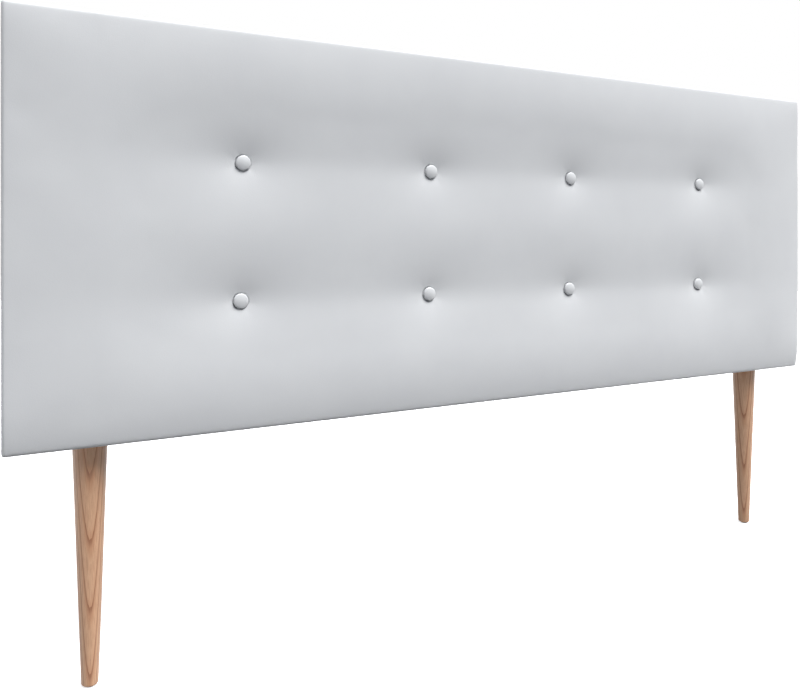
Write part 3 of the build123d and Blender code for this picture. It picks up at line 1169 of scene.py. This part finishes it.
    def round_holes(self, row: np.ndarray) -> None:
        """Move the vertices of a row that lie on a bolt hole's square onto its circle."""
        step = 2 * self.hole_half / self.hole_steps
        for leg in self.legs:
            away = row[:, [0, 1]] - np.array([leg.x, leg.y])
            size = np.max(np.abs(away), axis=1)
            under = np.abs(row[:, 2] - self.block[0].z) < step / 3
            on_square = under & (np.abs(size - self.hole_radius) < step / 3)
            lengths = np.linalg.norm(away[on_square], axis=1)[:, None]
            moved = np.array([leg.x, leg.y]) + away[on_square] / lengths * self.hole_radius
            row[np.ix_(on_square, [0, 1])] = moved

    def band(self, before: list[int], now: list[int]) -> list[tuple[int, ...]]:
        """Join two rows by a band of quads."""
        count = len(now)
        return [(before[k], now[k], now[(k + 1) % count], before[(k + 1) % count]) for k in range(count)]

    def without_holes(
        self, faces: list[tuple[int, ...]], points: np.ndarray, punched: bool
    ) -> list[tuple[int, ...]]:
        """Leave out the faces that a bolt hole takes up.

        Args:
            faces: Every face.
            points: Every vertex.
            punched: Whether there are holes at all.

        Returns:
            The faces that stay.
        """
        if not punched:
            return faces
        slack = self.hole_radius / 100
        inside = np.zeros(len(points), bool)
        for leg in self.legs:
            away = np.hypot(points[:, 0] - leg.x, points[:, 1] - leg.y)
            under = np.abs(points[:, 2] - self.block[0].z) < slack
            inside |= under & (away < self.hole_radius + slack)
        return [face for face in faces if not all(inside[v] for v in face)]


class SubAssembly:
    """Pieces that are made and finished together."""

    def build(self) -> list[bpy.types.Object]:
        """Make the group's own pieces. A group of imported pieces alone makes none."""
        return []

    def dress(self) -> list[str]:
        """Give the group's pieces their finishes.

        Returns:
            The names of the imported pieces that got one.
        """
        return []


def place_piece(
    piece: bpy.types.Object, body: Body, slot: Slot, finish: Finish, *nodes: str
) -> bpy.types.Object:
    """Finish a piece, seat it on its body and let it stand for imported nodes.

    Args:
        piece: The piece, in place.
        body: The body that it rides on.
        slot: The record's material slot for the piece. It is not used.
        finish: What it is made of.
        nodes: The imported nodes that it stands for.

    Returns:
        The same piece.
    """
    finish.dress(piece)
    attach(piece, body.value)
    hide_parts(*nodes)
    return piece


def dress_nodes(finish: Finish, *names: str) -> list[str]:
    """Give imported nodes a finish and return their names."""
    for name in names:
        finish.dress(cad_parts[name])
    return list(names)


@dataclass(frozen=True)
class LeatherCover(SubAssembly):
    """The faux leather cover: one sheet over the front, round the sides and onto the back."""

    skin: PaddedSkin = PaddedSkin()
    leather: EmbossedFauxLeather = EmbossedFauxLeather()
    thickness: float = 0.001
    back_radius: float = 0.0015
    margin_width: float = 0.042
    margin_steps: int = 5
    pressure: float = 3.0
    frames: int = 20
    movement_cap: float = 0.0025
    pinned_radius: float = 0.016
    rest_shares: tuple[float, float] = (0.3, 0.65)
    sharp_degrees: float = 60.0

    def rings(self) -> list[Ring]:
        """Work out the rows of the sheet from the front's rim to the margin's cut edge.

        Returns:
            The rows, from front to back.
        """
        leg_y = self.skin.legs[0].y
        half, steps = self.skin.hole_half, self.skin.hole_steps
        margin_y = box_of("dust_cover")[0].y
        first = leg_y - half
        rings = [Ring(first, share=share) for share in self.rest_shares]
        rings += [Ring(first + 2 * half * k / steps) for k in range(steps + 1)]
        rings.append(Ring((first + 2 * half + margin_y - self.back_radius) / 2))
        for turn in (0.0, 0.5, 1.0):
            angle = turn * math.pi / 2
            rings.append(Ring(
                margin_y - self.back_radius * (1 - math.sin(angle)),
                inward=self.back_radius * (1 - math.cos(angle)) + SLIVER,
            ))
        width = self.margin_width - self.back_radius
        rings += [
            Ring(margin_y, inward=self.back_radius + width * k / self.margin_steps)
            for k in range(1, self.margin_steps + 1)
        ]
        return rings

    def build(self) -> list[bpy.types.Object]:
        """Make the cover, let it settle under tension, and give it its thickness.

        Returns:
            The cover.
        """
        vertices, faces, _ = self.skin.build(self.rings(), punched=True)
        cover = make_piece("tufted_leather_cover", vertices, faces)
        self.settle(cover)
        cover.modifiers.new("finer", "SUBSURF").levels = 1
        shell = cover.modifiers.new("thickness", "SOLIDIFY")
        shell.thickness = self.thickness
        shell.offset = -1.0
        apply_modifiers(cover)
        shade_smooth(cover.data, self.sharp_degrees)
        place_piece(cover, Body.PANEL, Slot.FAUX_LEATHER, self.leather, "cover")
        return [cover]

    def settle(self, cover: bpy.types.Object) -> None:
        """Let the foam's pressure and the cover's tension shape it, between its buttons and sides.

        Args:
            cover: The cover's sheet, whose vertices are moved.
        """
        rest = np.array([v.co for v in cover.data.vertices])
        rim_y = self.skin.relief.crest_y + self.skin.edge_radius / 2
        pinned = rest[:, 1] > rim_y
        for button in self.skin.relief.buttons:
            pinned |= np.hypot(rest[:, 0] - button.x, rest[:, 2] - button.z) < self.pinned_radius
        group = cover.vertex_groups.new(name="held")
        group.add([int(i) for i in np.flatnonzero(pinned)], 1.0, "REPLACE")
        cloth = cover.modifiers.new("cloth", "CLOTH")
        cloth.settings.vertex_group_mass = group.name
        for option, value in COVER_CLOTH.items():
            setattr(cloth.settings, option, value)
        cloth.settings.uniform_pressure_force = self.pressure
        cloth.settings.effector_weights.gravity = 0.0
        cloth.collision_settings.use_collision = False
        cloth.point_cache.frame_end = self.frames
        scene = bpy.context.scene
        for number in range(1, self.frames + 1):
            scene.frame_set(number)
        evaluated = cover.evaluated_get(bpy.context.evaluated_depsgraph_get())
        moved = np.array([v.co for v in evaluated.data.vertices]) - rest
        cover.modifiers.remove(cloth)
        scene.frame_set(1)
        length = np.linalg.norm(moved, axis=1)[:, None] + NO_LENGTH
        capped = moved / length * self.movement_cap * np.tanh(length / self.movement_cap)
        cover.data.vertices.foreach_set("co", (rest + capped).ravel())
        cover.data.update()
        LOG.info("cover settled, its largest move %.2f mm", float(length.max()) * MM_IN_A_METRE)


@dataclass(frozen=True)
class FoamPad(SubAssembly):
    """The foam under the cover, with the same crown, channels and tufts."""

    foam: CutFoam = CutFoam()
    inset: float = 0.0016
    coarse_step: float = 0.020
    patch_steps: int = 6
    sharp_degrees: float = 50.0

    def build(self) -> list[bpy.types.Object]:
        """Make the pad, closed by its flat back.

        Returns:
            The pad.
        """
        skin = PaddedSkin(inset=self.inset, coarse_step=self.coarse_step, patch_steps=self.patch_steps)
        back_y = box_of("foam_pad")[1].y
        rings = [Ring(back_y, share=0.5), Ring(back_y)]
        vertices, faces, last = skin.build(rings, punched=False)
        faces.append(tuple(last[::-1]))
        pad = make_piece("crowned_foam_pad", vertices, faces, self.sharp_degrees)
        place_piece(pad, Body.PANEL, Slot.FOAM, self.foam, "foam_pad")
        return [pad]


def revolve(profile: list[tuple[float, float]], segments: int) -> tuple[np.ndarray, list[tuple[int, ...]]]:
    """Turn a profile about the Z axis into a closed solid.

    Args:
        profile: (radius, height) from a point on the axis at the foot to one at the top.
        segments: How many steps the turn has.

    Returns:
        The vertices, ring by ring between the two ends, and the faces.
    """
    angles = np.arange(segments) * math.tau / segments
    rings = [
        np.stack([r * np.cos(angles), r * np.sin(angles), np.full(segments, h)], axis=1)
        for r, h in profile[1:-1]
    ]
    ends = np.array([[0.0, 0.0, profile[0][1]], [0.0, 0.0, profile[-1][1]]])
    vertices = np.concatenate([*rings, ends])
    foot, top = len(vertices) - 2, len(vertices) - 1
    faces: list[tuple[int, ...]] = []
    for k in range(segments):
        after = (k + 1) % segments
        faces.append((foot, after, k))
        for ring in range(len(rings) - 1):
            low, high = ring * segments, (ring + 1) * segments
            faces.append((low + k, low + after, high + after, high + k))
        last = (len(rings) - 1) * segments
        faces.append((last + k, last + after, top))
    return vertices, faces


@dataclass(frozen=True)
class CoveredButtons(SubAssembly):
    """Eight buttons covered in the panel's own leather, gathered under their rims."""

    leather: EmbossedFauxLeather = EmbossedFauxLeather()
    rim_height: float = 0.0040
    rim_radius: float = 0.0022
    rim_steps: int = 4
    rim_turn_share: float = 0.8
    tuck_share: float = 0.45
    underside_share: float = 0.9
    underside_round: float = 0.0003
    bulge: float = 0.0002
    bulge_height: float = 0.0011
    segments: int = 72
    dome_steps: int = 9
    dome_power: float = 2.1
    gather_count: int = 18
    gather_depth: float = 0.00022
    sharp_degrees: float = 50.0

    def profile(self, radius: float, height: float) -> list[tuple[float, float]]:
        """Draw a button's half outline, from the middle of its underside to the top of its dome.

        Args:
            radius: The button's radius.
            height: Its height.

        Returns:
            (radius, height) pairs.
        """
        tucked = radius - self.tuck_share * self.rim_radius
        points = [
            (0.0, 0.0),
            (tucked * self.underside_share, 0.0),
            (tucked, self.underside_round),
            (radius - self.bulge, self.bulge_height),
            (radius, self.rim_height),
        ]
        flat = radius - self.rim_radius
        for step in range(1, self.rim_steps):
            angle = step / self.rim_steps * math.pi / 2 * self.rim_turn_share
            points.append((
                flat + self.rim_radius * math.cos(angle),
                self.rim_height + self.rim_radius * math.sin(angle),
            ))
        lead_radius, lead_height = points[-1]
        crown = height - lead_height
        for step in range(1, self.dome_steps):
            left = 1 - step / self.dome_steps
            points.append((lead_radius * left, lead_height + crown * (1 - left ** self.dome_power)))
        points.append((0.0, height))
        return points

    def build(self) -> list[bpy.types.Object]:
        """Make the eight buttons, each turned a little from the one before.

        Returns:
            The buttons, the upper row first.
        """
        made = []
        for row in ("upper", "lower"):
            for number in range(1, 5):
                node = f"{row}_button_{number}"
                low, high = box_of(node)
                radius, height = (high.x - low.x) / 2, high.y - low.y
                vertices, faces = revolve(self.profile(radius, height), self.segments)
                angle = np.arctan2(vertices[:, 1], vertices[:, 0])
                away = np.hypot(vertices[:, 0], vertices[:, 1]) / radius
                gathers = np.cos(self.gather_count * angle + number + np.sin(5 * angle))
                under = smooth((self.rim_height + self.rim_radius - vertices[:, 2]) / self.rim_height)
                squeeze = 1 - self.gather_depth / radius * (1 + gathers) * away ** 4 * under
                turned = np.stack(
                    [
                        (low.x + high.x) / 2 + vertices[:, 0] * squeeze,
                        high.y - vertices[:, 2],
                        (low.z + high.z) / 2 + vertices[:, 1] * squeeze,
                    ],
                    axis=1,
                )
                button = make_piece(f"{node}_covered", turned, faces, self.sharp_degrees)
                made.append(place_piece(button, Body.PANEL, Slot.FAUX_LEATHER, self.leather, node))
        return made


@dataclass(frozen=True)
class DustCover(SubAssembly):
    """The thin black sheet that closes the back, stapled round its edge."""

    cloth: SpunBondedCloth = SpunBondedCloth()
    thickness: float = 0.00035
    grid_step: float = 0.012
    edge_band: float = 0.012
    edge_steps: int = 4
    sag: float = 0.0008
    dimple_depth: float = 0.00012
    dimple_reach: float = 0.010
    ripple: float = 0.0002
    ripple_length: float = 0.045
    fixed_margin: float = 0.030
    slack_rise: float = 0.12
    slack_lengths: tuple[float, float] = (0.31, 0.27)
    slack_phases: tuple[float, float] = (1.0, 0.4)
    edge_reach: float = 0.05
    staple_reach: float = 0.02
    sharp_degrees: float = 60.0

    def build(self) -> list[bpy.types.Object]:
        """Make the sheet, a little slack between the stiles and drawn in at each staple.

        Returns:
            The sheet.
        """
        low, high = box_of("dust_cover")
        inner = self.edge_band / 2
        x_bands = [(low.x + inner, inner, self.edge_steps), (high.x - inner, inner, self.edge_steps)]
        z_bands = [(low.z + inner, inner, self.edge_steps), (high.z - inner, inner, self.edge_steps)]
        xs = self.lines(low.x, high.x, x_bands)
        zs = self.lines(low.z, high.z, z_bands)
        x, z = np.meshgrid(xs, zs, indexing="ij")
        y = low.y + self.thickness + self.relief(x, z)
        nx, nz = x.shape
        faces = [
            (i * nz + j, i * nz + j + 1, (i + 1) * nz + j + 1, (i + 1) * nz + j)
            for i in range(nx - 1)
            for j in range(nz - 1)
        ]
        sheet = make_piece("black_dust_sheet", np.stack([x, y, z], axis=-1).reshape(-1, 3), faces)
        shell = sheet.modifiers.new("thickness", "SOLIDIFY")
        shell.thickness = self.thickness
        shell.offset = -1.0
        apply_modifiers(sheet)
        shade_smooth(sheet.data, self.sharp_degrees)
        place_piece(sheet, Body.PANEL, Slot.DUST_CLOTH, self.cloth, "dust_cover")
        return [sheet]

    def lines(self, low: float, high: float, bands: list[tuple[float, float, int]]) -> np.ndarray:
        """Lay grid lines from edge to edge, closer together along the edges."""
        return np.unique(np.round(banded_lines(low, high, bands, self.grid_step), 9))

    def relief(self, x: np.ndarray, z: np.ndarray) -> np.ndarray:
        """Work out how far the sheet stands off the flat towards the back.

        Args:
            x: Each point's X.
            z: Each point's Z.

        Returns:
            The distance at each point.
        """
        low, high = box_of("dust_cover")
        margin, rise = self.fixed_margin, self.slack_rise
        stiles = [middle_of(name).x for name in ("left_inner_stile", "centre_stile", "right_inner_stile")]
        from_stile = np.min([np.abs(x - place) for place in stiles], axis=0)
        from_end = np.minimum(x - low.x, high.x - x) - margin
        from_edge = np.minimum(z - low.z, high.z - z) - margin
        field = smooth(np.minimum(from_stile, from_end) / rise) * smooth(from_edge / rise)
        slack = 1.0
        for place, length, phase in zip((x, z), self.slack_lengths, self.slack_phases):
            slack = slack * np.sin(place * math.tau / length + phase)
        ripples = np.sin(np.where(from_edge < from_end, x, z) * math.tau / self.ripple_length)
        off_edge = np.clip(np.minimum(from_edge, from_end) + margin, 0, None)
        near_edge = np.exp(-off_edge / self.edge_reach)
        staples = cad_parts["dust_cover_staples"].data.vertices
        tree = KDTree(len(staples))
        for index, vertex in enumerate(staples):
            tree.insert((vertex.co.x, 0.0, vertex.co.z), index)
        tree.balance()
        away = np.array([tree.find((a, 0.0, b))[2] for a, b in zip(x.ravel(), z.ravel())])
        away = away.reshape(x.shape)
        dimples = self.dimple_depth * np.exp(-((away / self.dimple_reach) ** 2))
        loose = 1 - np.exp(-((away / self.staple_reach) ** 2))
        lifted = self.ripple * ripples * near_edge * loose
        return field * self.sag * slack + np.abs(lifted) - dimples


@dataclass(frozen=True)
class ScrewInLegs(SubAssembly):
    """Two turned legs on their hanger bolts, with their glides and tee nuts."""

    steel: ZincPlatedSteel = ZincPlatedSteel()
    glide: MouldedGlide = MouldedGlide()
    machine_pitch: float = 0.00125
    wood_pitch: float = 0.0032
    thread_depth: float = 0.0007
    steps_in_a_pitch: int = 6
    segments: int = 24
    blend_length: float = 0.004
    sharp_degrees: float = 40.0

    def build(self) -> list[bpy.types.Object]:
        """Make the two threaded bolts.

        Returns:
            The left bolt and the right one.
        """
        made = []
        for side, body in ((Side.LEFT, Body.LEFT_BOLT), (Side.RIGHT, Body.RIGHT_BOLT)):
            node = f"{side.value}_hanger_bolt"
            bolt = make_piece(f"{node}_threaded", *self.thread(node), self.sharp_degrees)
            made.append(place_piece(bolt, body, Slot.ZINC_STEEL, self.steel, node))
        return made

    def thread(self, node: str) -> tuple[np.ndarray, list[tuple[int, ...]]]:
        """Cut a machine thread on a bolt's upper half and a wood thread on its lower half.

        Args:
            node: The plain bolt's node.

        Returns:
            The vertices and faces.
        """
        low, high = box_of(node)
        radius = (high.x - low.x) / 2
        plain_z = box_of("cover")[0].z
        chamfer = radius / 4
        step = self.machine_pitch / self.steps_in_a_pitch
        heights = np.linspace(low.z, high.z, round((high.z - low.z) / step) + 1)
        profile = [(0.0, low.z), *((radius, h) for h in heights), (0.0, high.z)]
        vertices, faces = revolve(profile, self.segments)
        rings = vertices[:-2].reshape(len(heights), self.segments, 3)
        turn = np.arange(self.segments) / self.segments
        upper = heights[:, None] > plain_z
        pitch = np.where(upper, self.machine_pitch, self.wood_pitch)
        phase = np.mod((heights[:, None] - low.z) / pitch - turn[None, :], 1.0)
        groove = np.abs(phase - 0.5) * 2
        shank = np.exp(-(((heights[:, None] - plain_z) / self.blend_length) ** 2))
        cut = self.thread_depth * groove * (1 - shank)
        from_end = np.minimum(heights - low.z, high.z - heights)[:, None]
        end_cut = np.clip(chamfer - from_end, 0, None)
        size = (radius - cut - end_cut) / radius
        rings[:, :, :2] *= size[:, :, None]
        vertices[:, 0] += (low.x + high.x) / 2
        vertices[:, 1] += (low.y + high.y) / 2
        return vertices, faces

    def dress(self) -> list[str]:
        """Finish the legs, glides, nails and tee nuts.

        Returns:
            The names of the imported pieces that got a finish.
        """
        named = []
        # Each leg is cut from another place in the tree, so its rings bend round another heart.
        hearts = {Side.LEFT: (5.0, 44.0), Side.RIGHT: (36.0, 30.0)}
        for side in Side:
            axis = middle_of(f"{side.value}_leg")
            beech = TurnedBeech(
                name=f"beech_steamed_turned_{side.value}", axis=(axis.x, axis.y), heart_mm=hearts[side]
            )
            named += dress_nodes(beech, f"{side.value}_leg")
            named += dress_nodes(self.glide, f"{side.value}_glide")
            named += dress_nodes(self.steel, f"{side.value}_glide_nail", f"{side.value}_tee_nut")
        return named


@dataclass(frozen=True)
class TimberFrame(SubAssembly):
    """Two rails, five stiles and a hardboard front, with their screws and staples."""

    steel: ZincPlatedSteel = ZincPlatedSteel()
    board: PressedHardboard = PressedHardboard()

    def dress(self) -> list[str]:
        """Finish the timbers, the board and what fastens them.

        Returns:
            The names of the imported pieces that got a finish.
        """
        lying = SawnPine(name="pine_sawn_lying", along=(1.0, 0.0, 0.0))
        standing = SawnPine(name="pine_sawn_standing", along=(0.0, 0.0, 1.0))
        places = ("left_end", "left_inner", "centre", "right_inner", "right_end")
        stiles = [f"{place}_stile" for place in places]
        named = dress_nodes(lying, "top_rail", "bottom_rail")
        named += dress_nodes(standing, *stiles)
        named += dress_nodes(self.board, "front_board")
        named += dress_nodes(self.steel, "frame_screws", "board_staples")
        named += dress_nodes(self.steel, "cover_staples", "dust_cover_staples")
        return named


@dataclass(frozen=True)
class TuftTies(SubAssembly):
    """What holds the buttons: their backs with eyes, the twines, and the anchors behind the board."""

    steel: ZincPlatedSteel = ZincPlatedSteel()
    twine: TwistedTwine = TwistedTwine()
    anchor: MouldedAnchor = MouldedAnchor()

    def dress(self) -> list[str]:
        """Finish the ties.

        Returns:
            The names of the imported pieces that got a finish.
        """
        named = dress_nodes(self.steel, "button_backs")
        named += dress_nodes(self.twine, "tufting_twines")
        named += dress_nodes(self.anchor, "twine_anchors")
        return named


@dataclass(frozen=True)
class SeamlessFloor(Finish):
    """Matt white studio floor: white to the eye, and grey to the light that bounces off it."""

    name: str = "floor_matt_white"
    seen: float = 0.95
    glow: float = 0.72
    bounced: float = 0.06

    def surface(self, tree: bpy.types.NodeTree) -> bpy.types.Node:
        """Add the floor's nodes to a tree and return its shader node."""
        white = add_node(tree, "ShaderNodeBsdfDiffuse", {"Color": (self.seen, self.seen, self.seen, 1.0)})
        glow = add_node(tree, "ShaderNodeEmission", {"Strength": self.glow})
        lit = add_node(tree, "ShaderNodeAddShader", links={0: white.outputs[0], 1: glow.outputs[0]})
        grey = add_node(
            tree, "ShaderNodeBsdfDiffuse", {"Color": (self.bounced, self.bounced, self.bounced, 1.0)}
        )
        return add_node(
            tree,
            "ShaderNodeMixShader",
            links={0: seen_directly(tree), 1: grey.outputs[0], 2: lit.outputs[0]},
        )


def seen_directly(tree: bpy.types.NodeTree) -> bpy.types.NodeSocket:
    """Add nodes that tell rays that show a background from those that only carry its light.

    Args:
        tree: The tree that the nodes go into.

    Returns:
        A socket that is 1 for camera, glossy and transmission rays.
    """
    path = add_node(tree, "ShaderNodeLightPath")
    either = add_node(
        tree,
        "ShaderNodeMath",
        {"operation": "MAXIMUM"},
        {0: path.outputs["Is Camera Ray"], 1: path.outputs["Is Glossy Ray"]},
    )
    return add_node(
        tree,
        "ShaderNodeMath",
        {"operation": "MAXIMUM"},
        {0: either.outputs[0], 1: path.outputs["Is Transmission Ray"]},
    ).outputs[0]


@dataclass(frozen=True)
class DistantLamp:
    """A large soft lamp, so far away that it lights the whole panel evenly."""

    name: str
    azimuth_degrees: float
    elevation_degrees: float
    spread_degrees: float
    watts_in_a_square_metre: float

    def place(self) -> bpy.types.Object:
        """Hang the lamp.

        Returns:
            The lamp.
        """
        azimuth, elevation = math.radians(self.azimuth_degrees), math.radians(self.elevation_degrees)
        back = Vector((
            math.sin(azimuth) * math.cos(elevation),
            -math.cos(azimuth) * math.cos(elevation),
            math.sin(elevation),
        ))
        light = bpy.data.lights.new(self.name, "SUN")
        light.angle = math.radians(self.spread_degrees)
        light.energy = self.watts_in_a_square_metre
        lamp = bpy.data.objects.new(self.name, light)
        lamp.location = middle_of("cover") + back
        lamp.rotation_euler = (-back).to_track_quat("-Z", "Y").to_euler()
        bpy.context.scene.collection.objects.link(lamp)
        return lamp


@dataclass(frozen=True)
class BoxLamp:
    """A small soft box near the panel, which lights the end that it hangs by more than the rest."""

    name: str
    place_at: tuple[float, float, float]
    aim_at: tuple[float, float, float]
    side: float
    watts: float

    def place(self) -> bpy.types.Object:
        """Hang the lamp.

        Returns:
            The lamp.
        """
        light = bpy.data.lights.new(self.name, "AREA")
        light.shape = "SQUARE"
        light.size = self.side
        light.energy = self.watts
        lamp = bpy.data.objects.new(self.name, light)
        lamp.location = self.place_at
        aim = Vector(self.aim_at) - Vector(self.place_at)
        lamp.rotation_euler = aim.to_track_quat("-Z", "Y").to_euler()
        bpy.context.scene.collection.objects.link(lamp)
        return lamp


@dataclass(frozen=True)
class Studio:
    """Pale floor, soft lamps, and a camera at the photograph's place."""

    floor_half: float = 8.0
    ambient: float = 0.28
    ambient_colour: str = "#E6F0FF"
    lens_mm: float = 34.67
    sensor_mm: float = 36.0
    camera_place: tuple[float, float, float] = (-0.8037, -1.1643, 0.6356)
    camera_turn_degrees: float = -27.57
    camera_shift: float = -0.1325
    key: DistantLamp = DistantLamp("key", 38.0, 61.0, 36.0, 5.4)
    side: DistantLamp = DistantLamp("side", -80.0, 15.0, 60.0, 0.8)
    top: BoxLamp = BoxLamp("top", (0.95, -0.60, 1.35), (0.80, -0.04, 0.90), 0.4, 0.8)

    def set_up(self) -> None:
        """Set the floor, lamps, world, camera and view."""
        half = self.floor_half
        corners = np.array([[-half, -half, 0.0], [half, -half, 0.0], [half, half, 0.0], [-half, half, 0.0]])
        floor = make_piece("studio_floor", corners, [(0, 1, 2, 3)])
        SeamlessFloor().dress(floor)
        self.key.place()
        self.side.place()
        self.top.place()
        self.set_world()
        self.set_camera()
        bpy.context.scene.view_settings.view_transform = "Standard"

    def set_world(self) -> None:
        """Fill the studio with even light, in front of a white background."""
        world = bpy.data.worlds.new("white_studio")
        world.use_nodes = True
        tree = world.node_tree
        tree.nodes.clear()
        white = linear("#FFFFFF")
        fill = add_node(
            tree, "ShaderNodeBackground", {"Color": linear(self.ambient_colour), "Strength": self.ambient}
        )
        shown = add_node(tree, "ShaderNodeBackground", {"Color": white, "Strength": 1.0})
        mixed = add_node(
            tree,
            "ShaderNodeMixShader",
            links={0: seen_directly(tree), 1: fill.outputs[0], 2: shown.outputs[0]},
        )
        add_node(tree, "ShaderNodeOutputWorld", links={"Surface": mixed.outputs[0]})
        bpy.context.scene.world = world

    def set_camera(self) -> None:
        """Put the camera where the photograph was taken from."""
        lens = bpy.data.cameras.new("camera")
        lens.lens = self.lens_mm
        lens.sensor_width = self.sensor_mm
        lens.shift_y = self.camera_shift
        camera = bpy.data.objects.new("camera", lens)
        camera.location = self.camera_place
        camera.rotation_euler = (math.pi / 2, 0.0, math.radians(self.camera_turn_degrees))
        bpy.context.scene.collection.objects.link(camera)
        bpy.context.scene.camera = camera


def main() -> None:
    """Build and dress each sub-assembly in order, then set up the studio."""
    logging.basicConfig(level=logging.INFO, format="%(name)s: %(message)s")
    groups = [
        LeatherCover(),
        FoamPad(),
        CoveredButtons(),
        DustCover(),
        ScrewInLegs(),
        TimberFrame(),
        TuftTies(),
    ]
    for group in groups:
        for piece in group.build():
            LOG.info("made %s with %d faces", piece.name, len(piece.data.polygons))
        for name in group.dress():
            LOG.info("finished %s", name)
    Studio().set_up()


if __name__ == "__main__":
    main()
